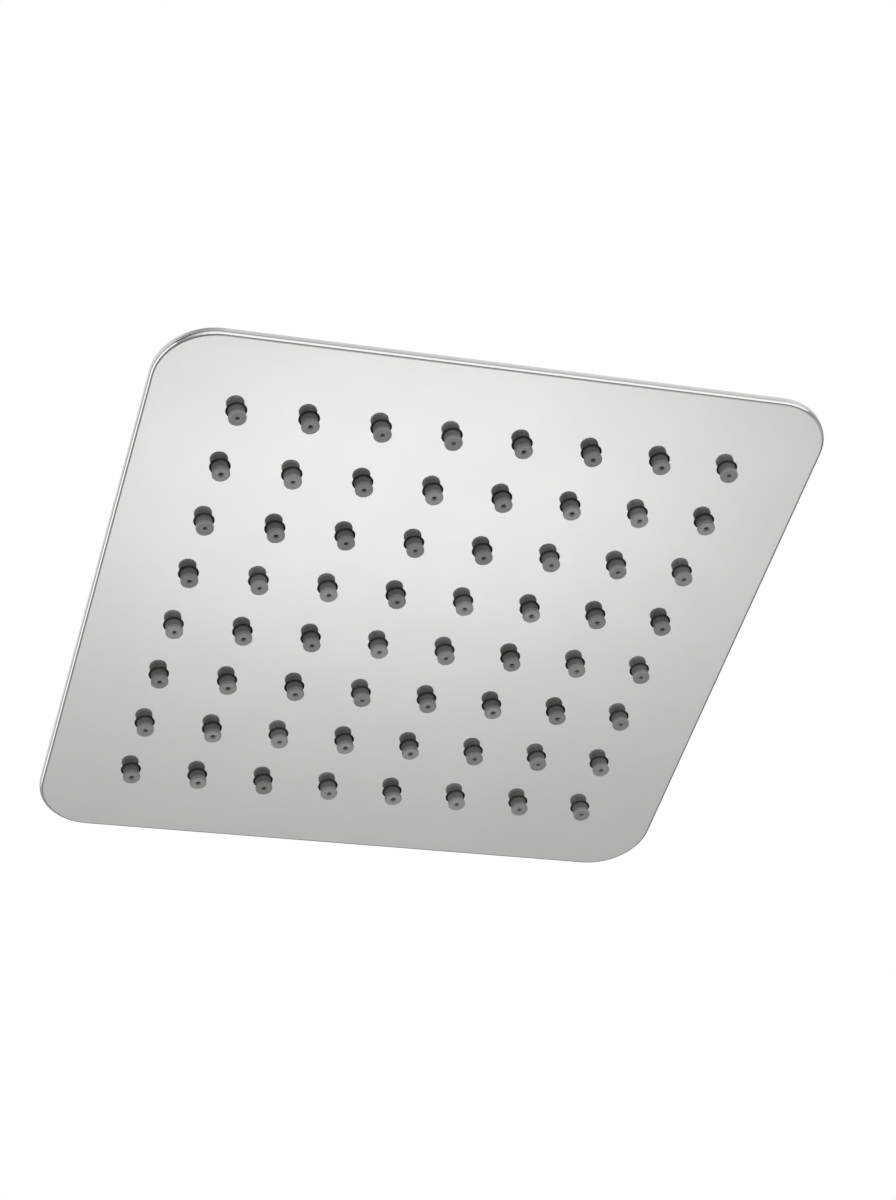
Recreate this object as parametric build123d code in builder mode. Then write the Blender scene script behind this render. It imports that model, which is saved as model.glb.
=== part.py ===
from build123d import *
import os
from math import cos, radians, sin, tan

# Square rain shower head: two welded sheet plates, soft nozzles and a swivelling ball inlet.
# The nozzle tips lie in the plane z = 0, the face looks down and the inlet points up.

# Plates
plate_side = 200.0
corner_radius = 17.5
face_sheet = 1.3
back_sheet = 1.3
face_edge_radius = 1.0
back_edge_radius = 0.4
seam_radius = 0.2

# Water chamber, pressed into the back plate
weld_land = 11.0
field_corner_radius = 14.0
chamber_height = 3.0
press_angle = 50.0
press_radius = 2.0
dome_diameter = 72.0
dome_rise = 2.0

# Nozzles
nozzles_per_side = 8
nozzle_margin = 26.5
nozzle_drop = 3.7
nozzle_diameter = 5.4
nozzle_waist = 4.9
nozzle_hole_gap = 0.65
nozzle_flange_width = 1.8
nozzle_flange_height = 1.0
jet_diameter = 1.3

# Ball joint
ball_diameter = 21.0
ball_gap = 0.2
ball_sink = 1.0
tilt_limit = 15.0
tilt_clearance = 0.4
slip_gap = 0.1

# Boss, seal, washer and nut around the ball
waterway_diameter = 13.0
boss_floor = 2.5
boss_wall = 2.2
boss_flange_width = 4.8
boss_flange_height = 2.0
spigot_wall = 5.5
weld_fit = 0.05
cup_gap = 0.5
seal_height = 4.0
washer_height = 6.5
washer_lift = 0.5
thread_gap = 0.15
nut_wall = 3.6
nut_lip = 2.0
nut_clearance = 0.4
nut_taper_height = 5.0
nut_taper_depth = 2.4
nut_edge_radius = 1.0
nut_flat_depth = 1.8
nut_flat_height = 8.0

# Stem with the female half inch pipe thread
stem_bore = 8.0
neck_wall = 2.0
thread_minor_diameter = 18.63
thread_length = 9.5
thread_lead_in = 0.8
hex_wall = 3.2
hex_bevel = 1.0
stem_floor = 2.6
relief_depth = 0.4
screen_thickness = 0.4
inlet_washer_height = 2.5
inlet_washer_hole = 11.0
seat_fit = 0.2

# Heights, from the nozzle tips upwards
face_z = nozzle_drop
inside_z = face_z + face_sheet
rim_z = inside_z + back_sheet
field_inner_z = inside_z + chamber_height
field_z = field_inner_z + back_sheet
dome_inner_z = field_inner_z + dome_rise
dome_z = dome_inner_z + back_sheet
flange_z = dome_z + boss_flange_height
seat_z = dome_inner_z + boss_floor
ball_z = seat_z + ball_diameter / 2 - ball_sink
washer_z = ball_z + washer_lift
boss_z = washer_z - slip_gap
lip_z = washer_z + washer_height + slip_gap
nut_z = lip_z + nut_lip

# Radii of the turned pieces, from the water way and the ball outwards
waterway_radius = waterway_diameter / 2
spigot_radius = waterway_radius + spigot_wall
ball_radius = ball_diameter / 2
cup_radius = ball_radius + cup_gap
boss_radius = cup_radius + boss_wall
flange_radius = boss_radius + boss_flange_width
nut_bore_radius = boss_radius + thread_gap
nut_radius = nut_bore_radius + nut_wall
neck_radius = stem_bore / 2 + neck_wall
thread_radius = thread_minor_diameter / 2
relief_radius = thread_radius + relief_depth
hex_radius = thread_radius + hex_wall
hex_corner_radius = hex_radius / cos(radians(30))

# The neck leans to the tilt limit inside the washer and the nut's lip, and the hexagon clears the nut
tilt = radians(tilt_limit)
neck_reach = neck_radius / cos(tilt) + tilt_clearance
washer_hole_radius = (washer_z + washer_height - ball_z) * tan(tilt) + neck_reach
lip_radius = (nut_z - ball_z) * tan(tilt) + neck_reach
hex_z = ball_z + (nut_z - ball_z + tilt_clearance + hex_corner_radius * sin(tilt)) / cos(tilt)

# Inside of the stem's socket, from its floor to its mouth
socket_z = hex_z + stem_floor
washer_seat_z = socket_z + screen_thickness
thread_z = washer_seat_z + inlet_washer_height + seat_fit
mouth_z = thread_z + thread_length
stem_z = mouth_z + thread_lead_in

# Nozzle grid, the punched holes that the nozzles stand free in, and the flanges behind the sheet
nozzle_pitch = (plate_side - 2 * nozzle_margin) / (nozzles_per_side - 1)
nozzle_hole_radius = nozzle_waist / 2 + nozzle_hole_gap
nozzle_flange_radius = nozzle_waist / 2 + nozzle_flange_width
nozzle_z = inside_z + nozzle_flange_height

# The pressed walls keep the sheet's thickness, so the hollow's foot lies inside the outer one
field_side = plate_side - 2 * weld_land
press = radians(press_angle)
press_inset = back_sheet * (1 - sin(press)) / cos(press)


def turned_outline(*points):
    """A closed outline of straight lines in the XZ plane, for a piece turned about Z."""
    with BuildSketch(Plane.XZ) as outline:
        with BuildLine():
            Polyline(*points, close=True)
        make_face()
    return outline.sketch


def ring_outline(inner, outer, bottom, top, ball_cut=False):
    """Half section of a ring about Z, hollowed to the ball's curve where it seats on it."""
    with BuildSketch(Plane.XZ) as outline:
        with Locations(((inner + outer) / 2, (bottom + top) / 2)):
            Rectangle(outer - inner, top - bottom)
        if ball_cut:
            with Locations((0, ball_z)):
                Circle(ball_radius + ball_gap, mode=Mode.SUBTRACT)
    return outline.sketch


def keep(piece, name):
    """Names a finished piece and writes it to its own file."""
    piece.part.label = name
    export_step(piece.part, f"parts/{name}.step")


os.makedirs("parts", exist_ok=True)

# Face plate: polished sheet with a soft outer edge, a fine seam and a punched hole for each nozzle
with BuildPart() as face_plate:
    with BuildSketch(Plane.XY.offset(face_z)):
        RectangleRounded(plate_side, plate_side, corner_radius)
        with GridLocations(nozzle_pitch, nozzle_pitch, nozzles_per_side, nozzles_per_side):
            Circle(nozzle_hole_radius, mode=Mode.SUBTRACT)
    extrude(amount=face_sheet)
    fillet(face_plate.faces().sort_by(Axis.Z)[0].outer_wire().edges(), radius=face_edge_radius)
    fillet(face_plate.faces().sort_by(Axis.Z)[-1].outer_wire().edges(), radius=seam_radius)
keep(face_plate, "face_plate")

# Back plate: flat land welded to the face plate, pressed up into a shallow chamber with a round dome
with BuildPart() as back_plate:
    with BuildSketch(Plane.XY.offset(inside_z)):
        RectangleRounded(plate_side, plate_side, corner_radius)
    extrude(amount=back_sheet)
    fillet(back_plate.faces().sort_by(Axis.Z)[-1].edges(), radius=back_edge_radius)
    fillet(back_plate.faces().sort_by(Axis.Z)[0].edges(), radius=seam_radius)
    with BuildSketch(Plane.XY.offset(rim_z)):
        RectangleRounded(field_side, field_side, field_corner_radius)
    extrude(amount=chamber_height, taper=press_angle)
    field_edges = back_plate.edges(Select.LAST).group_by(Axis.Z)
    fillet(field_edges[0] + field_edges[-1], radius=press_radius)
    with BuildSketch(Plane.XY.offset(field_z)):
        Circle(dome_diameter / 2)
    extrude(amount=dome_rise, taper=press_angle)
    dome_edges = back_plate.edges(Select.LAST).group_by(Axis.Z)
    fillet(dome_edges[0] + dome_edges[-1], radius=press_radius)
    with BuildSketch(Plane.XY.offset(inside_z)):
        RectangleRounded(
            field_side - 2 * press_inset,
            field_side - 2 * press_inset,
            field_corner_radius - press_inset,
        )
    extrude(amount=chamber_height, taper=press_angle, mode=Mode.SUBTRACT)
    with BuildSketch(Plane.XY.offset(field_inner_z)):
        Circle(dome_diameter / 2 - press_inset)
    extrude(amount=dome_rise, taper=press_angle, mode=Mode.SUBTRACT)
    with Locations((0, 0, dome_z)):
        Hole(spigot_radius + weld_fit)
keep(back_plate, "back_plate")

# Nozzle: soft spout that narrows to a waist in its hole, with a flange behind the sheet and a bore
with BuildPart() as nozzle:
    revolve(
        turned_outline(
            (jet_diameter / 2, 0),
            (nozzle_diameter / 2, 0),
            (nozzle_waist / 2, inside_z),
            (nozzle_flange_radius, inside_z),
            (nozzle_flange_radius, nozzle_z),
            (jet_diameter / 2, nozzle_z),
        ),
        axis=Axis.Z,
    )

# Nozzle rows: the nozzle repeated over the grid, kept row by row
for row in range(nozzles_per_side):
    row_y = (row - (nozzles_per_side - 1) / 2) * nozzle_pitch
    with BuildPart() as nozzle_row:
        with Locations((0, row_y, 0)):
            with GridLocations(nozzle_pitch, nozzle_pitch, nozzles_per_side, 1):
                add(nozzle.part)
    keep(nozzle_row, f"nozzle_row_{row + 1}")

# Inlet boss: spigot through the back plate, flange welded on top of it and a threaded cup for the ball
with BuildPart() as inlet_boss:
    revolve(
        turned_outline(
            (waterway_radius, dome_inner_z),
            (spigot_radius, dome_inner_z),
            (spigot_radius, dome_z),
            (flange_radius, dome_z),
            (flange_radius, flange_z),
            (boss_radius, flange_z),
            (boss_radius, boss_z),
            (cup_radius, boss_z),
            (cup_radius, seat_z),
            (waterway_radius, seat_z),
        ),
        axis=Axis.Z,
    )
keep(inlet_boss, "inlet_boss")

# Ball seal: rubber ring on the cup's floor
with BuildPart() as ball_seal:
    revolve(
        ring_outline(waterway_radius, cup_radius - slip_gap, seat_z, seat_z + seal_height, ball_cut=True),
        axis=Axis.Z,
    )
keep(ball_seal, "ball_seal")

# Ball washer: friction ring between the ball and the nut's lip
with BuildPart() as ball_washer:
    revolve(
        ring_outline(
            washer_hole_radius,
            nut_bore_radius - seat_fit,
            washer_z,
            washer_z + washer_height,
            ball_cut=True,
        ),
        axis=Axis.Z,
    )
keep(ball_washer, "ball_washer")

# Retaining nut: screwed over the boss, with a tapered shoulder and two flats for a spanner
with BuildPart() as retaining_nut:
    revolve(
        turned_outline(
            (nut_bore_radius, flange_z + nut_clearance),
            (nut_radius, flange_z + nut_clearance),
            (nut_radius, nut_z - nut_taper_height),
            (nut_radius - nut_taper_depth, nut_z),
            (lip_radius, nut_z),
            (lip_radius, lip_z),
            (nut_bore_radius, lip_z),
        ),
        axis=Axis.Z,
    )
    nut_circles = retaining_nut.edges().filter_by(GeomType.CIRCLE)
    fillet(nut_circles.group_by(SortBy.RADIUS)[-1].sort_by(Axis.Z)[-1], radius=nut_edge_radius)
    fillet(retaining_nut.faces().sort_by(Axis.Z)[-1].outer_wire().edges(), radius=nut_edge_radius)
    with BuildSketch(Plane.XY.offset(flange_z + nut_clearance)):
        Rectangle(4 * nut_radius, 4 * nut_radius)
        Rectangle(4 * nut_radius, 2 * (nut_radius - nut_flat_depth), mode=Mode.SUBTRACT)
    extrude(amount=nut_flat_height, mode=Mode.SUBTRACT)
keep(retaining_nut, "retaining_nut")

# Ball stem: bevelled hexagon with the threaded socket, neck and ball, bored through for the water
with BuildPart() as ball_stem:
    with BuildSketch(Plane.XY.offset(hex_z)):
        RegularPolygon(hex_radius, side_count=6, major_radius=False)
    extrude(amount=stem_z - hex_z)
    revolve(
        turned_outline(
            (0, hex_z),
            (hex_radius, hex_z),
            (hex_corner_radius, hex_z + hex_bevel),
            (hex_corner_radius, stem_z - hex_bevel),
            (hex_radius, stem_z),
            (0, stem_z),
        ),
        axis=Axis.Z,
        mode=Mode.INTERSECT,
    )
    with Locations((0, 0, ball_z)):
        Sphere(ball_radius)
        Cylinder(neck_radius, hex_z - ball_z, align=(Align.CENTER, Align.CENTER, Align.MIN))
    revolve(
        turned_outline(
            (0, ball_z - ball_radius),
            (stem_bore / 2, ball_z - ball_radius),
            (stem_bore / 2, socket_z),
            (relief_radius, socket_z),
            (relief_radius, thread_z),
            (thread_radius, thread_z),
            (thread_radius, mouth_z),
            (thread_radius + thread_lead_in, stem_z),
            (0, stem_z),
        ),
        axis=Axis.Z,
        mode=Mode.SUBTRACT,
    )
keep(ball_stem, "ball_stem")

# Inlet screen and washer: stacked on the socket's floor, in the relief below the thread
with BuildPart() as inlet_screen:
    with BuildSketch(Plane.XY.offset(socket_z)):
        Circle(relief_radius - seat_fit)
    extrude(amount=screen_thickness)
keep(inlet_screen, "inlet_screen")

with BuildPart() as inlet_washer:
    revolve(
        ring_outline(
            inlet_washer_hole / 2,
            relief_radius - seat_fit,
            washer_seat_z,
            washer_seat_z + inlet_washer_height,
        ),
        axis=Axis.Z,
    )
keep(inlet_washer, "inlet_washer")
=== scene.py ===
# %% [markdown]
# # A square rain shower head
#
# This lesson dresses the model of a slim overhead shower head: two polished steel sheets, a grid of
# soft nozzles and a ball joint that screws onto a shower arm. The solid model already has every
# piece at its true size, so it is loaded first and its box is kept. Whatever is modelled here has
# to stay inside that box.

# %% Load the solid model
import math

import bpy
from mathutils import Matrix, Vector


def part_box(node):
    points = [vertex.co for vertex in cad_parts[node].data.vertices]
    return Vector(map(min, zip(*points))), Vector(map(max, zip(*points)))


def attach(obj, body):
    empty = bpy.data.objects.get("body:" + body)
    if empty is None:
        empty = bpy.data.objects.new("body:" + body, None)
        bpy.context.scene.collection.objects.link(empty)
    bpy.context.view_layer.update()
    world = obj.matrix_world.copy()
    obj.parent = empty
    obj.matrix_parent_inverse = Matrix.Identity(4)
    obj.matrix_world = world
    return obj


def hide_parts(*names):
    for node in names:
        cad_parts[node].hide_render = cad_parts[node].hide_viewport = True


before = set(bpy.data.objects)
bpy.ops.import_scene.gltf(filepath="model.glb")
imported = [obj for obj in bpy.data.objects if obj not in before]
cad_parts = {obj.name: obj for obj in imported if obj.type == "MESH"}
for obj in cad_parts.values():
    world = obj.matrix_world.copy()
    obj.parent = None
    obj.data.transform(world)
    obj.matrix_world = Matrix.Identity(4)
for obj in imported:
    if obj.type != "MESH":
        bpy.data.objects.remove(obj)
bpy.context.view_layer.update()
millimetre = 0.001

# %% [markdown]
# ## The camera
#
# The head is photographed from below and from its near left corner, turned a little in the picture.
# A long lens keeps the square's sides nearly parallel. The camera could be turned by three angles,
# but it is easier to follow when it is placed, aimed at a point on the face and then rolled about
# its own line of sight, as a photographer does it. Blender's lens is set for the long side of the
# picture, which is upright.

# %% Place, aim and roll the camera
camera_place = Vector((-0.2609, -0.6224, -0.6652))
camera_aim = Vector((0.00567, -0.01073, 0.00344))
camera_roll = math.radians(-11.29)
camera_lens = 94.96

bpy.ops.object.select_all(action="DESELECT")
bpy.ops.object.camera_add(location=camera_place)
camera = bpy.context.object
camera.name = "camera_below"
camera.rotation_mode = "QUATERNION"
line_of_sight = (camera_aim - camera_place).to_track_quat("-Z", "Y")
camera.rotation_quaternion = line_of_sight @ Matrix.Rotation(camera_roll, 3, "Z").to_quaternion()
camera.data.lens = camera_lens
camera.data.clip_start = 0.01
bpy.context.scene.camera = camera
bpy.context.scene.view_settings.view_transform = "Standard"
print("camera is", round((camera_aim - camera_place).length, 3), "m from the face")

# %% [markdown]
# ## The room
#
# Polished steel shows nothing but its surroundings, so the room is half of the finish. High up it is
# white, which is also what the camera sees behind the head. Towards the horizon and straight overhead
# it gets dimmer, and so it does behind the camera, on the near left, which is the grey that stands in
# the upright side of the plates. A picture of a room could be wrapped round the scene, but one ramp
# over height and one from front to back need no file and are easy to tune.

# %% White high up, dim at the horizon and overhead
room_greys = ((0.0, 0.25), (0.50, 0.45), (0.62, 0.22), (0.75, 1.0), (0.93, 1.0), (1.0, 0.45))


def fill_ramp(ramp, stops):
    """Gives a colour ramp its greys, from the lowest stop to the highest."""
    steps = ramp.color_ramp.elements
    steps.remove(steps[0])
    for number, (stop, grey) in enumerate(stops):
        step = steps[0] if number == 0 else steps.new(stop)
        step.position = stop
        step.color = (grey, grey, grey, 1)


room = bpy.data.worlds.new("white_room")
bpy.context.scene.world = room
room.use_nodes = True
nodes, links = room.node_tree.nodes, room.node_tree.links
direction = nodes.new("ShaderNodeTexCoord")
split = nodes.new("ShaderNodeSeparateXYZ")
height = nodes.new("ShaderNodeMapRange")
height.inputs["From Min"].default_value = -1.0
height.inputs["From Max"].default_value = 1.0
ramp = nodes.new("ShaderNodeValToRGB")
fill_ramp(ramp, room_greys)
links.new(direction.outputs["Generated"], split.inputs["Vector"])
links.new(split.outputs["Z"], height.inputs["Value"])
links.new(height.outputs["Result"], ramp.inputs["Fac"])
links.new(ramp.outputs["Color"], nodes["Background"].inputs["Color"])
print("room tones:", [round(step.color[0], 2) for step in ramp.color_ramp.elements])

# %% Dim behind the camera
near_left = (-0.35, -0.94, 0)
dims_from, dims_to, dimmest = 0.45, 0.72, 0.2

nearness = nodes.new("ShaderNodeVectorMath")
nearness.operation = "DOT_PRODUCT"
nearness.inputs[1].default_value = near_left
dimming = nodes.new("ShaderNodeMapRange")
dimming.inputs["From Min"].default_value = dims_from
dimming.inputs["From Max"].default_value = dims_to
dimming.inputs["To Min"].default_value = 1.0
dimming.inputs["To Max"].default_value = dimmest
links.new(direction.outputs["Generated"], nearness.inputs[0])
links.new(nearness.outputs["Value"], dimming.inputs["Value"])
links.new(dimming.outputs["Result"], nodes["Background"].inputs["Strength"])
print("behind the camera the room is dimmed to", dimmest)

# %% [markdown]
# ## The floor and its lights
#
# The face looks straight down, so the pale floor far below is what it mirrors. A pool of light on
# that floor, behind the head, is the bright patch in the face. One spot lamp would make a flat patch
# with a rim, so three hang in one place, each narrower than the last, and together they fade evenly.
# The rounded edges look elsewhere, each in its own direction, so they are lit one by one: a long strip
# in front, which fades towards the corner in four short steps, and one at the left become the white
# bands along those edges. Dark cloths on the floor draw the thin dark line beside each band, and one
# hung far behind on the right is the dark line along the two edges that turn away. Strips and cloths
# are there for the mirror only, so they are hidden from the camera and from everything that isn't
# polished.

# %% Lay the floor
floor_size, floor_height = 60, -1.15

bpy.ops.object.select_all(action="DESELECT")
bpy.ops.mesh.primitive_plane_add(size=floor_size, location=(0, 0, floor_height))
floor = bpy.context.object
floor.name = "pale_floor"

floor_paint = bpy.data.materials.new("pale_floor_paint")
floor_paint.use_nodes = True
nodes, links = floor_paint.node_tree.nodes, floor_paint.node_tree.links
place = nodes.new("ShaderNodeTexCoord")
clouds = nodes.new("ShaderNodeTexNoise")
clouds.inputs["Scale"].default_value = 1.5
tone = nodes.new("ShaderNodeValToRGB")
tone.color_ramp.elements[0].color = (0.66, 0.66, 0.66, 1)
tone.color_ramp.elements[1].color = (0.70, 0.70, 0.695, 1)
links.new(place.outputs["Object"], clouds.inputs["Vector"])
links.new(clouds.outputs["Fac"], tone.inputs["Fac"])
links.new(tone.outputs["Color"], nodes["Principled BSDF"].inputs["Base Color"])
nodes["Principled BSDF"].inputs["Roughness"].default_value = 0.9
nodes["Principled BSDF"].inputs["Specular IOR Level"].default_value = 0.1
floor.data.materials.append(floor_paint)
print("floor lies", -floor_height, "m below the nozzle tips")

# %% Hang the pool lights
pool_place = (0.385, 0.915, -0.25)
pool_stretch = (1.5, 1, 1)
pool_power = 12.6

for name, cone in (("wash", 110), ("wide_pool", 54), ("narrow_pool", 30)):
    bpy.ops.object.light_add(type="SPOT", location=pool_place)
    pool_light = bpy.context.object
    pool_light.name = name
    pool_light.scale = pool_stretch
    pool_light.data.energy = pool_power
    pool_light.data.spot_size = math.radians(cone)
    pool_light.data.spot_blend = 1.0
    pool_light.data.shadow_soft_size = 0.1
    pool_light.visible_camera = False
    print(name, "spreads over", cone, "degrees")

# %% Stand the strips
front_line, strip_middle, strip_tall = -0.72, -0.32, 1.25
fade_start, fade_step = -0.27, 0.14


def for_the_mirror(thing):
    """Leaves a lamp or cloth to reflections alone."""
    thing.visible_camera = False
    thing.visible_diffuse = False
    thing.visible_shadow = False


def strip_light(name, place, turn, wide, tall, power):
    """A lamp the shape of an upright strip."""
    bpy.ops.object.light_add(type="AREA", location=place, rotation=(math.pi / 2, 0, turn))
    strip = bpy.context.object
    strip.name = name
    strip.data.shape = "RECTANGLE"
    strip.data.size = wide
    strip.data.size_y = tall
    strip.data.energy = power
    for_the_mirror(strip)
    print(name, "is", wide, "x", tall, "m")


strip_light("front_strip", (0.6, front_line, strip_middle), 0, 1.6, strip_tall, 5.8)
for number, power in enumerate((0.45, 0.30, 0.16, 0.06)):
    fade_place = (fade_start - fade_step * number, front_line, strip_middle)
    strip_light(f"fading_strip_{number + 1}", fade_place, 0, fade_step, strip_tall, power)
strip_light("left_strip", (-1.0, 0.45, -0.45), math.radians(-90), 1.9, 0.8, 5.2)

# %% Spread the cloths
cloth_height = floor_height + 0.02
lying, hanging = (0, 0, 0), (math.pi / 2, 0, math.radians(-34))

dark_cloth = bpy.data.materials.new("dark_cloth")
dark_cloth.use_nodes = True
cloth_shader = dark_cloth.node_tree.nodes["Principled BSDF"]
cloth_shader.inputs["Base Color"].default_value = (0.3, 0.3, 0.3, 1)
cloth_shader.inputs["Roughness"].default_value = 0.95


def spread_cloth(name, place, turn, wide, long):
    """A dark cloth, flat on the floor or hung upright."""
    bpy.ops.mesh.primitive_plane_add(size=1, location=place, rotation=turn)
    cloth = bpy.context.object
    cloth.name = name
    cloth.scale = (wide, long, 1)
    cloth.data.materials.append(dark_cloth)
    for_the_mirror(cloth)
    print(name, "is", wide, "x", long, "m")


spread_cloth("front_cloth", (0, -0.375, cloth_height), lying, 6, 0.45)
spread_cloth("left_cloth", (-0.29, 1.45, cloth_height), lying, 0.82, 3.0)
spread_cloth("right_cloth", (1.75, 2.55, 0.05), hanging, 4.4, 2.4)

# %% [markdown]
# ## Mirror polished steel
#
# Both sheets and the welded boss are polished until they mirror. A metal shader with one colour and
# one roughness would look like plastic foil, so three faint things are laid over it: a cloudy haze
# in the colour, fine lines left by the polishing wheel, and the slight waviness of thin sheet. Where
# the two sheets are welded the wheel can't reach, and the seam stays duller: a ramp over the height
# draws it as a line about a third of a millimetre wide on both. All of this reads the piece's own
# coordinates, so it stays put when the camera or the joint moves.

# %% Helpers for finishes
micrometre = millimetre / 1000
noise_low, noise_high = 0.3, 0.7


def new_finish(name):
    """A new material, its tree of nodes and its shader."""
    finish = bpy.data.materials.new(name)
    finish.use_nodes = True
    return finish, finish.node_tree, finish.node_tree.nodes["Principled BSDF"]


def grain(tree, scale, detail=2.0, stretch=(1, 1, 1)):
    """A noise over the piece's own coordinates, stretched along its axes."""
    place = tree.nodes.new("ShaderNodeTexCoord")
    turn = tree.nodes.new("ShaderNodeMapping")
    turn.inputs["Scale"].default_value = stretch
    noise = tree.nodes.new("ShaderNodeTexNoise")
    noise.inputs["Scale"].default_value = scale
    noise.inputs["Detail"].default_value = detail
    tree.links.new(place.outputs["Object"], turn.inputs["Vector"])
    tree.links.new(turn.outputs["Vector"], noise.inputs["Vector"])
    return noise.outputs["Fac"]


def spread(tree, value, low, high):
    """Maps a noise onto a range of values."""
    scale = tree.nodes.new("ShaderNodeMapRange")
    scale.inputs["From Min"].default_value = noise_low
    scale.inputs["From Max"].default_value = noise_high
    scale.inputs["To Min"].default_value = low
    scale.inputs["To Max"].default_value = high
    tree.links.new(value, scale.inputs["Value"])
    return scale.outputs["Result"]


def tones(tree, value, dark, light):
    """Maps a noise onto two colours."""
    blend = tree.nodes.new("ShaderNodeValToRGB")
    first, last = blend.color_ramp.elements
    first.position, first.color = noise_low, (*dark, 1)
    last.position, last.color = noise_high, (*light, 1)
    tree.links.new(value, blend.inputs["Fac"])
    return blend.outputs["Color"]


def relief(tree, value, depth, below=None):
    """Turns a noise into bumps of a depth in metres, on top of other bumps."""
    bump = tree.nodes.new("ShaderNodeBump")
    bump.inputs["Distance"].default_value = depth
    tree.links.new(value, bump.inputs["Height"])
    if below:
        tree.links.new(below, bump.inputs["Normal"])
    return bump.outputs["Normal"]


# %% Helpers for laying one colour over another and for dressing solids
def overlay(tree, below, above):
    """Darkens one colour by another."""
    blend = tree.nodes.new("ShaderNodeMix")
    blend.data_type = "RGBA"
    blend.blend_type = "MULTIPLY"
    blend.inputs["Factor"].default_value = 1.0
    tree.links.new(below, blend.inputs["A"])
    tree.links.new(above, blend.inputs["B"])
    return blend.outputs["Result"]


def by_height(tree, low, high, stops):
    """Greys over the height on the piece, between two heights in metres."""
    place = tree.nodes.new("ShaderNodeTexCoord")
    split = tree.nodes.new("ShaderNodeSeparateXYZ")
    rise = tree.nodes.new("ShaderNodeMapRange")
    rise.inputs["From Min"].default_value = low
    rise.inputs["From Max"].default_value = high
    ramp = tree.nodes.new("ShaderNodeValToRGB")
    fill_ramp(ramp, stops)
    tree.links.new(place.outputs["Object"], split.inputs["Vector"])
    tree.links.new(split.outputs["Z"], rise.inputs["Value"])
    tree.links.new(rise.outputs["Result"], ramp.inputs["Fac"])
    return ramp.outputs["Color"]


def dress(finish, *names):
    """Gives pieces of the solid model a finish."""
    for name in names:
        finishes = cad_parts[name].data.materials
        finishes.clear()
        finishes.append(finish)


# %% Polished steel
seam_height, seam_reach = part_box("face_plate")[1].z, 0.4 * millimetre
seam_stops = ((0, 1.0), (0.3, 1.0), (0.42, 0.65), (0.58, 0.65), (0.7, 1.0), (1, 1.0))

polished_steel, tree, shader = new_finish("mirror_polished_steel")
shader.inputs["Metallic"].default_value = 1.0
haze = grain(tree, 45, 3)
wheel_lines = grain(tree, 60, 4, (1, 30, 1))
waviness = grain(tree, 16, 1)
steel_tone = tones(tree, haze, (0.655, 0.655, 0.65), (0.675, 0.675, 0.672))
seam = by_height(tree, seam_height - seam_reach, seam_height + seam_reach, seam_stops)
tree.links.new(overlay(tree, steel_tone, seam), shader.inputs["Base Color"])
tree.links.new(spread(tree, wheel_lines, 0.05, 0.09), shader.inputs["Roughness"])
wavy = relief(tree, waviness, 40 * micrometre)
tree.links.new(relief(tree, wheel_lines, 0.6 * micrometre, wavy), shader.inputs["Normal"])
dress(polished_steel, "face_plate", "back_plate", "inlet_boss")
print("polished steel:", len(tree.nodes), "nodes")

# %% [markdown]
# ## Chromed brass
#
# The union nut and the stem are turned from brass and plated with chrome. Chrome is a little bluer
# and brighter than steel, and plated turned parts keep a trace of the tool's rings. Those rings run
# round the axis, so they are a noise over the distance from it and the height along it. Inside the
# socket the plating never reaches, so there the same shader turns to bare brass, which is rougher.

# %% Tool rings round the axis
chrome, tree, shader = new_finish("chromed_brass")
shader.inputs["Metallic"].default_value = 1.0
place = tree.nodes.new("ShaderNodeTexCoord")
split = tree.nodes.new("ShaderNodeSeparateXYZ")
across = tree.nodes.new("ShaderNodeCombineXYZ")
from_axis = tree.nodes.new("ShaderNodeVectorMath")
from_axis.operation = "LENGTH"
turning = tree.nodes.new("ShaderNodeCombineXYZ")
rings = tree.nodes.new("ShaderNodeTexNoise")
rings.inputs["Scale"].default_value = 900
tree.links.new(place.outputs["Object"], split.inputs["Vector"])
tree.links.new(split.outputs["X"], across.inputs["X"])
tree.links.new(split.outputs["Y"], across.inputs["Y"])
tree.links.new(across.outputs["Vector"], from_axis.inputs[0])
tree.links.new(from_axis.outputs["Value"], turning.inputs["X"])
tree.links.new(split.outputs["Z"], turning.inputs["Y"])
tree.links.new(turning.outputs["Vector"], rings.inputs["Vector"])
print("tool rings:", len(tree.nodes), "nodes")

# %% Bare brass inside the socket
socket_radius, socket_foot = 10.55 * millimetre, 38.2 * millimetre


def reckon(operation, *values):
    """A sum over linked values and plain numbers."""
    node = tree.nodes.new("ShaderNodeMath")
    node.operation = operation
    for socket, value in zip(node.inputs, values):
        if isinstance(value, float):
            socket.default_value = value
        else:
            tree.links.new(value, socket)
    return node.outputs["Value"]


in_socket = reckon("LESS_THAN", from_axis.outputs["Value"], socket_radius)
above_foot = reckon("GREATER_THAN", split.outputs["Z"], socket_foot)
bare = reckon("MULTIPLY", in_socket, above_foot)
print("brass is bare within", round(socket_radius / millimetre, 2), "mm of the axis")

# %% Chrome over brass
plating = tones(tree, grain(tree, 90, 3), (0.70, 0.715, 0.735), (0.735, 0.75, 0.765))
brass = tones(tree, rings.outputs["Fac"], (0.52, 0.36, 0.14), (0.66, 0.48, 0.20))
both = tree.nodes.new("ShaderNodeMix")
both.data_type = "RGBA"
tree.links.new(bare, both.inputs["Factor"])
tree.links.new(plating, both.inputs["A"])
tree.links.new(brass, both.inputs["B"])
tree.links.new(both.outputs["Result"], shader.inputs["Base Color"])
smooth = spread(tree, rings.outputs["Fac"], 0.05, 0.09)
tree.links.new(reckon("MULTIPLY_ADD", bare, 0.2, smooth), shader.inputs["Roughness"])
tree.links.new(relief(tree, rings.outputs["Fac"], 0.8 * micrometre), shader.inputs["Normal"])
dress(chrome, "retaining_nut")
print("chromed brass:", len(tree.nodes), "nodes")

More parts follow.
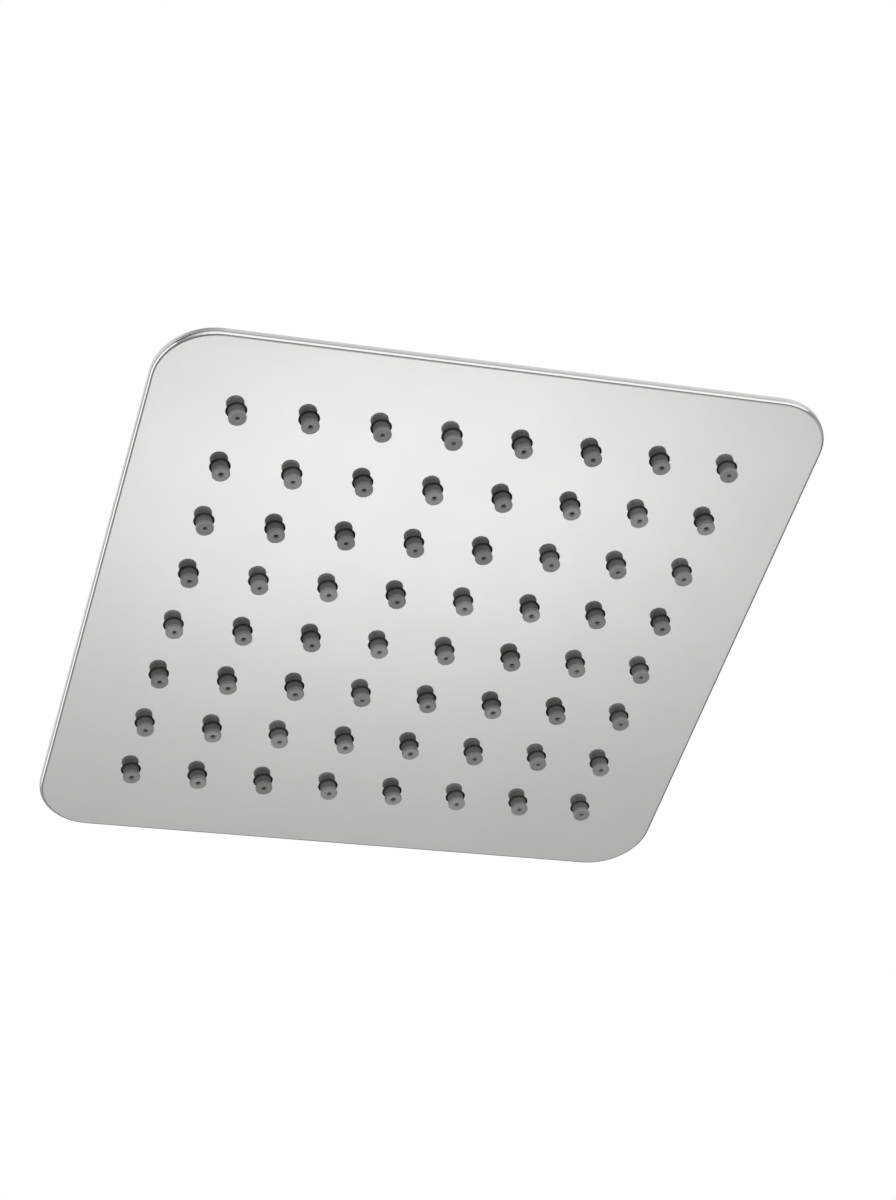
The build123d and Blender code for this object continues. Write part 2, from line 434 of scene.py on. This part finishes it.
# %% [markdown]
# ## Rubber and acetal
#
# Three hidden rings seal and guide the ball: a black rubber seal under it, a white acetal ring that
# the union nut presses on it, and a black rubber washer in the socket. Both could be plain colours,
# but rubber is rough with a dusty bloom, and acetal is smooth and slightly waxy, so it lets a little
# light in under its surface.

# %% Black rubber
black_rubber, tree, shader = new_finish("black_rubber")
bloom = grain(tree, 700, 4)
rubber_tone = tones(tree, bloom, (0.018, 0.018, 0.018), (0.035, 0.034, 0.033))
tree.links.new(rubber_tone, shader.inputs["Base Color"])
tree.links.new(spread(tree, bloom, 0.62, 0.82), shader.inputs["Roughness"])
tree.links.new(relief(tree, grain(tree, 2500, 3), 10 * micrometre), shader.inputs["Normal"])
dress(black_rubber, "ball_seal", "inlet_washer")
print("black rubber:", len(tree.nodes), "nodes")

# %% White acetal
acetal, tree, shader = new_finish("white_acetal")
flow = grain(tree, 120, 2)
acetal_tone = tones(tree, flow, (0.78, 0.77, 0.73), (0.84, 0.83, 0.80))
tree.links.new(acetal_tone, shader.inputs["Base Color"])
tree.links.new(spread(tree, flow, 0.32, 0.42), shader.inputs["Roughness"])
tree.links.new(relief(tree, grain(tree, 1600, 2), 3 * micrometre), shader.inputs["Normal"])
shader.inputs["Subsurface Weight"].default_value = 0.15
shader.inputs["Subsurface Scale"].default_value = millimetre
dress(acetal, "ball_washer")
print("white acetal:", len(tree.nodes), "nodes")

# %% [markdown]
# ## Silicone
#
# The nozzles are soft grey silicone, so that limescale can be rubbed off with a thumb. No two
# mouldings have quite the same tone. A noise over the whole face would show as clouds, so each
# nozzle gets one tone of its own: its coordinates are snapped to the nozzle grid first, and a white
# noise then gives one number for each place on the grid. A ramp over the height lays painted shade
# over both: the waist is about half as bright as the tip, and inside the hole, at its foot, a fifth.

# %% Grey silicone
nozzle_pitch = 21 * millimetre
painted_shade_top = 4 * millimetre
painted_shade_stops = ((0.2, 1.0), (0.4, 0.54), (0.82, 0.48), (0.93, 0.22))

silicone, tree, shader = new_finish("grey_silicone")
place = tree.nodes.new("ShaderNodeTexCoord")
cell = tree.nodes.new("ShaderNodeVectorMath")
cell.operation = "SNAP"
cell.inputs[1].default_value = (nozzle_pitch, nozzle_pitch, 1)
moulding = tree.nodes.new("ShaderNodeTexWhiteNoise")
tree.links.new(place.outputs["Object"], cell.inputs[0])
tree.links.new(cell.outputs["Vector"], moulding.inputs["Vector"])
batch = tones(tree, moulding.outputs["Value"], (0.34, 0.34, 0.325), (0.465, 0.465, 0.45))
speckle = tones(tree, grain(tree, 1800, 4), (0.9, 0.9, 0.9), (1.0, 1.0, 1.0))
speckled = overlay(tree, batch, speckle)
# painted shade: the waist about half as bright as the tip, the foot in the hole darker still
painted_shade = by_height(tree, 0, painted_shade_top, painted_shade_stops)
tree.links.new(overlay(tree, speckled, painted_shade), shader.inputs["Base Color"])
tree.links.new(spread(tree, grain(tree, 900, 3), 0.5, 0.65), shader.inputs["Roughness"])
tree.links.new(relief(tree, grain(tree, 3000, 2), 10 * micrometre), shader.inputs["Normal"])
shader.inputs["Specular IOR Level"].default_value = 0.35
print("grey silicone:", len(tree.nodes), "nodes")

# %% [markdown]
# ## One nozzle
#
# A nozzle is a little moulded spout: a flat tip with the jet in its middle, a rounded lip, and a waist
# that stands free in a punched hole of the sheet, so a dark gap runs round its foot. A flange behind
# the sheet holds it. It could be stacked from cylinders, but a round shape has one outline, so the
# outline is drawn once as a chain of points beside the axis and spun round it. A bevel then softens
# every edge, because moulded silicone has no sharp ones.

# %% Draw an outline and spin it
merge_gap = 0.002 * millimetre


def outline_chain(name, points):
    """Draws an outline beside the Z axis, in millimetres from the axis and up it."""
    bpy.ops.object.select_all(action="DESELECT")
    bpy.ops.mesh.primitive_plane_add(size=millimetre, location=(0, 0, 0))
    piece = bpy.context.object
    piece.name = piece.data.name = name
    bpy.ops.object.mode_set(mode="EDIT")
    bpy.ops.mesh.select_all(action="SELECT")
    bpy.ops.mesh.merge(type="CENTER")
    here = Vector((0, 0, 0))
    for number, (away, up) in enumerate(points):
        there = Vector((away, 0, up)) * millimetre
        if number == 0:
            bpy.ops.transform.translate(value=there - here)
        else:
            bpy.ops.mesh.extrude_region_move(TRANSFORM_OT_translate={"value": there - here})
        here = there
    bpy.ops.mesh.select_all(action="SELECT")
    return piece


def turned(name, points, steps):
    """Spins a closed outline round the Z axis."""
    piece = outline_chain(name, [*points, points[0]])
    bpy.ops.mesh.spin(steps=steps, angle=math.tau, center=(0, 0, 0), axis=(0, 0, 1))
    bpy.ops.mesh.select_all(action="SELECT")
    bpy.ops.mesh.remove_doubles(threshold=merge_gap)
    bpy.ops.mesh.normals_make_consistent(inside=False)
    bpy.ops.object.mode_set(mode="OBJECT")
    return piece


# %% Turn the first nozzle
inside_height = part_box("face_plate")[1].z / millimetre
tail_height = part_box("nozzle_row_1")[1].z / millimetre
jet, tip, waist, flange = 0.65, 2.63, 2.45, 4.25
countersink, countersink_depth = 0.25, 0.35
lip, tip_length, waist_start = 0.2, 0.9, 1.5

nozzle_outline = [
    (jet, tail_height), (jet, countersink_depth), (jet + countersink, 0), (tip - lip, 0),
    (tip, lip), (tip, tip_length), (waist, waist_start), (waist, inside_height),
    (flange, inside_height), (flange, tail_height),
]
nozzle = turned("first_nozzle", nozzle_outline, 32)
soften = nozzle.modifiers.new("soft_edges", "BEVEL")
soften.width = 0.07 * millimetre
soften.segments = 2
soften.limit_method = "ANGLE"
soften.angle_limit = math.radians(25)
bpy.ops.object.modifier_apply(modifier=soften.name)
bpy.ops.object.shade_smooth_by_angle(angle=math.radians(40))
nozzle.data.materials.append(silicone)
print("one nozzle:", len(nozzle.data.polygons), "faces,", tail_height, "mm tall")

# %% [markdown]
# ## Eight rows of eight
#
# The nozzles stand in a square grid, eight by eight. Each could be placed by itself, but the nozzle is
# finished before it is copied, so all the copies are alike. An array modifier repeats it along the
# first row, and the row is then copied seven times. Each row stands for one row of the solid model,
# takes over its place and moves with the head.

# %% Repeat the nozzle along a row and the row across the face
nozzles_a_side = 8
row_low, row_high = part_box("nozzle_row_1")
row_start = Vector((row_low.x + flange * millimetre, (row_low.y + row_high.y) / 2, 0))


def pick(piece):
    """Selects one piece alone."""
    bpy.ops.object.select_all(action="DESELECT")
    piece.select_set(True)
    bpy.context.view_layer.objects.active = piece


def shift(way):
    """Moves the selected piece, with its object left at the origin."""
    bpy.ops.transform.translate(value=way)
    bpy.ops.object.transform_apply(location=True, rotation=True, scale=True)


def repeat(piece, count, step):
    """Repeats a piece in even steps within its own mesh."""
    copies = piece.modifiers.new("copies", "ARRAY")
    copies.use_relative_offset = False
    copies.use_constant_offset = True
    copies.constant_offset_displace = step
    copies.count = count
    bpy.ops.object.modifier_apply(modifier=copies.name)


pick(nozzle)
shift(row_start)
repeat(nozzle, nozzles_a_side, (nozzle_pitch, 0, 0))
nozzle.name = nozzle.data.name = "soft_nozzles_1"
soft_rows = [nozzle]
for number in range(2, nozzles_a_side + 1):
    pick(nozzle)
    bpy.ops.object.duplicate(linked=False)
    row = bpy.context.object
    shift((0, nozzle_pitch * (number - 1), 0))
    row.name = row.data.name = f"soft_nozzles_{number}"
    soft_rows.append(row)
for number, row in enumerate(soft_rows, start=1):
    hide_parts(f"nozzle_row_{number}")
    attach(row, "head")
print("nozzles:", len(soft_rows), "rows of", len(nozzle.data.polygons), "faces")

# %% [markdown]
# ## The threaded stem
#
# The stem's socket takes the shower arm, so it has a real pipe thread: fourteen threads to the inch,
# cut a little over a millimetre deep. The solid model leaves it plain. A thread could be a bump, but
# this one is looked straight into, so a tap is made instead: one tooth's outline is drawn and wound
# up the axis by a screw modifier, and a boolean cuts it out of a copy of the solid stem. The copy's
# loose triangles are merged first, because a boolean needs a closed mesh. The slivers that the cut
# leaves are merged after it, and only edges flatter than fourteen degrees are smoothed, so that the
# hexagon's bevels stay crisp.

# %% Wind the tap
thread_pitch = 25.4 / 14
minor, major = 9.315, 10.478
tap_foot, tap_turns, tap_steps = 41.0, 6, 48
tap_core, crest, flank, root_round = minor - 0.1, 0.3, 0.83, 0.08

tooth = [
    (tap_core, tap_foot), (minor, tap_foot + crest), (major - root_round, tap_foot + flank),
    (major, tap_foot + thread_pitch / 2), (major - root_round, tap_foot + thread_pitch - flank),
    (minor, tap_foot + thread_pitch - crest), (tap_core, tap_foot + thread_pitch),
]
tap = outline_chain("thread_tap", tooth)
bpy.ops.object.mode_set(mode="OBJECT")
winding = tap.modifiers.new("winding", "SCREW")
winding.axis = "Z"
winding.screw_offset = thread_pitch * millimetre
winding.iterations = tap_turns
winding.steps = winding.render_steps = tap_steps
winding.use_merge_vertices = True
bpy.ops.object.modifier_apply(modifier=winding.name)
bpy.ops.object.mode_set(mode="EDIT")
bpy.ops.mesh.select_all(action="SELECT")
bpy.ops.mesh.remove_doubles(threshold=merge_gap)
bpy.ops.mesh.fill_holes(sides=0)
bpy.ops.mesh.select_all(action="SELECT")
bpy.ops.mesh.normals_make_consistent(inside=False)
bpy.ops.object.mode_set(mode="OBJECT")
print("tap:", len(tap.data.polygons), "faces, pitch", round(thread_pitch, 3), "mm")

# %% Cut the thread into a copy of the stem
corner_gap, sliver_gap = 1 * micrometre, 0.2 * micrometre

stem = bpy.data.objects.new("threaded_stem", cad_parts["ball_stem"].data.copy())
bpy.context.scene.collection.objects.link(stem)
pick(stem)
bpy.ops.mesh.customdata_custom_splitnormals_clear()
bpy.ops.object.mode_set(mode="EDIT")
bpy.ops.mesh.select_all(action="SELECT")
bpy.ops.mesh.remove_doubles(threshold=corner_gap)
bpy.ops.object.mode_set(mode="OBJECT")
cut = stem.modifiers.new("cut_thread", "BOOLEAN")
cut.operation = "DIFFERENCE"
cut.object = tap
bpy.ops.object.modifier_apply(modifier=cut.name)
bpy.data.objects.remove(tap)
bpy.ops.object.mode_set(mode="EDIT")
bpy.ops.mesh.select_all(action="SELECT")
bpy.ops.mesh.remove_doubles(threshold=sliver_gap)
bpy.ops.mesh.dissolve_degenerate(threshold=sliver_gap)
bpy.ops.object.mode_set(mode="OBJECT")
bpy.ops.object.shade_smooth_by_angle(angle=math.radians(14))
stem.data.materials.clear()
stem.data.materials.append(chrome)
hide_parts("ball_stem")
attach(stem, "stem")
print("threaded stem:", len(stem.data.polygons), "faces")

# %% [markdown]
# ## The inlet screen
#
# A disc of woven wire under the washer keeps grit out of the jets. A printed grid would look flat
# from close by, so real wires are woven: one wire goes up and down as it crosses its neighbours, the
# next goes the other way, and a second set turned by a quarter runs across them. Each wire is cut
# squarely near the disc's rim, which the washer covers.

# %% Bend one wire
wire_radius, wire_lift = 0.09 * millimetre, 0.095 * millimetre
mesh_pitch, crossings = 0.9 * millimetre, 20


def crimped_wire(name, rise):
    """A wire along X that rises and falls at each crossing."""
    bpy.ops.object.select_all(action="DESELECT")
    bpy.ops.mesh.primitive_circle_add(vertices=6, radius=wire_radius, rotation=(0, math.pi / 2, 0))
    piece = bpy.context.object
    piece.name = piece.data.name = name
    bpy.ops.object.transform_apply(location=True, rotation=True, scale=True)
    bpy.ops.object.mode_set(mode="EDIT")
    bpy.ops.mesh.select_all(action="SELECT")
    bpy.ops.transform.translate(value=(-mesh_pitch * crossings / 2, 0, rise))
    for number in range(crossings):
        swing = -2 * rise if number % 2 == 0 else 2 * rise
        to_next = (mesh_pitch, 0, swing)
        bpy.ops.mesh.extrude_region_move(TRANSFORM_OT_translate={"value": to_next})
    bpy.ops.object.mode_set(mode="OBJECT")
    return piece


def trim_to_disc(piece, reach):
    """Rounds the bends of a set of wires and cuts each wire squarely at the disc's rim."""
    rounding = piece.modifiers.new("round_bends", "SUBSURF")
    rounding.levels = rounding.render_levels = 1
    bpy.ops.object.modifier_apply(modifier=rounding.name)
    bpy.ops.object.mode_set(mode="EDIT")
    bpy.ops.mesh.select_mode(type="VERT")
    bpy.ops.mesh.select_all(action="DESELECT")
    bpy.ops.object.mode_set(mode="OBJECT")
    for corner in piece.data.vertices:
        wire_line = round(corner.co.y / mesh_pitch) * mesh_pitch
        corner.select = math.hypot(corner.co.x, wire_line) > reach
    bpy.ops.object.mode_set(mode="EDIT")
    bpy.ops.mesh.delete(type="VERT")
    bpy.ops.mesh.select_all(action="SELECT")
    bpy.ops.mesh.fill_holes(sides=24)
    bpy.ops.mesh.select_all(action="SELECT")
    bpy.ops.mesh.normals_make_consistent(inside=False)
    bpy.ops.object.mode_set(mode="OBJECT")


# %% Lay the first set
screen_low, screen_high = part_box("inlet_screen")
wire_reach = screen_high.x - 0.12 * millimetre

sets = []
for name, rise, first in (("wires_up", wire_lift, 0), ("wires_down", -wire_lift, 1)):
    piece = crimped_wire(name, rise)
    shift((0, (first - crossings / 2) * mesh_pitch, 0))
    repeat(piece, crossings // 2 + 1 - first, (0, 2 * mesh_pitch, 0))
    trim_to_disc(piece, wire_reach)
    sets.append(piece)
print("wires one way:", [len(piece.data.polygons) for piece in sets])

# %% Turn a second set across the first
for piece in list(sets):
    pick(piece)
    bpy.ops.object.duplicate(linked=False)
    other = bpy.context.object
    bpy.ops.object.mode_set(mode="EDIT")
    bpy.ops.mesh.select_all(action="SELECT")
    bpy.ops.transform.rotate(value=math.pi / 2, orient_axis="Z", center_override=(0, 0, 0))
    bpy.ops.transform.resize(value=(1, 1, -1), center_override=(0, 0, 0))
    bpy.ops.object.mode_set(mode="OBJECT")
    sets.append(other)
screen = sets[0]
pick(screen)
for piece in sets:
    piece.select_set(True)
bpy.ops.object.join()
screen.name = screen.data.name = "woven_screen"
bpy.ops.object.mode_set(mode="EDIT")
bpy.ops.mesh.select_all(action="SELECT")
bpy.ops.mesh.normals_make_consistent(inside=False)
bpy.ops.transform.translate(value=(0, 0, (screen_low.z + screen_high.z) / 2))
bpy.ops.object.mode_set(mode="OBJECT")
bpy.ops.object.shade_smooth_by_angle(angle=math.radians(60))
print("woven screen:", len(screen.data.polygons), "faces")

# %% Steel wire
steel_wire, tree, shader = new_finish("steel_wire")
shader.inputs["Metallic"].default_value = 1.0
drawn = grain(tree, 1500, 3)
wire_tone = tones(tree, drawn, (0.46, 0.455, 0.44), (0.58, 0.575, 0.56))
tree.links.new(wire_tone, shader.inputs["Base Color"])
tree.links.new(spread(tree, drawn, 0.22, 0.36), shader.inputs["Roughness"])
tree.links.new(relief(tree, drawn, 3 * micrometre), shader.inputs["Normal"])
screen.data.materials.append(steel_wire)
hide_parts("inlet_screen")
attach(screen, "stem")
print("steel wire:", len(tree.nodes), "nodes")
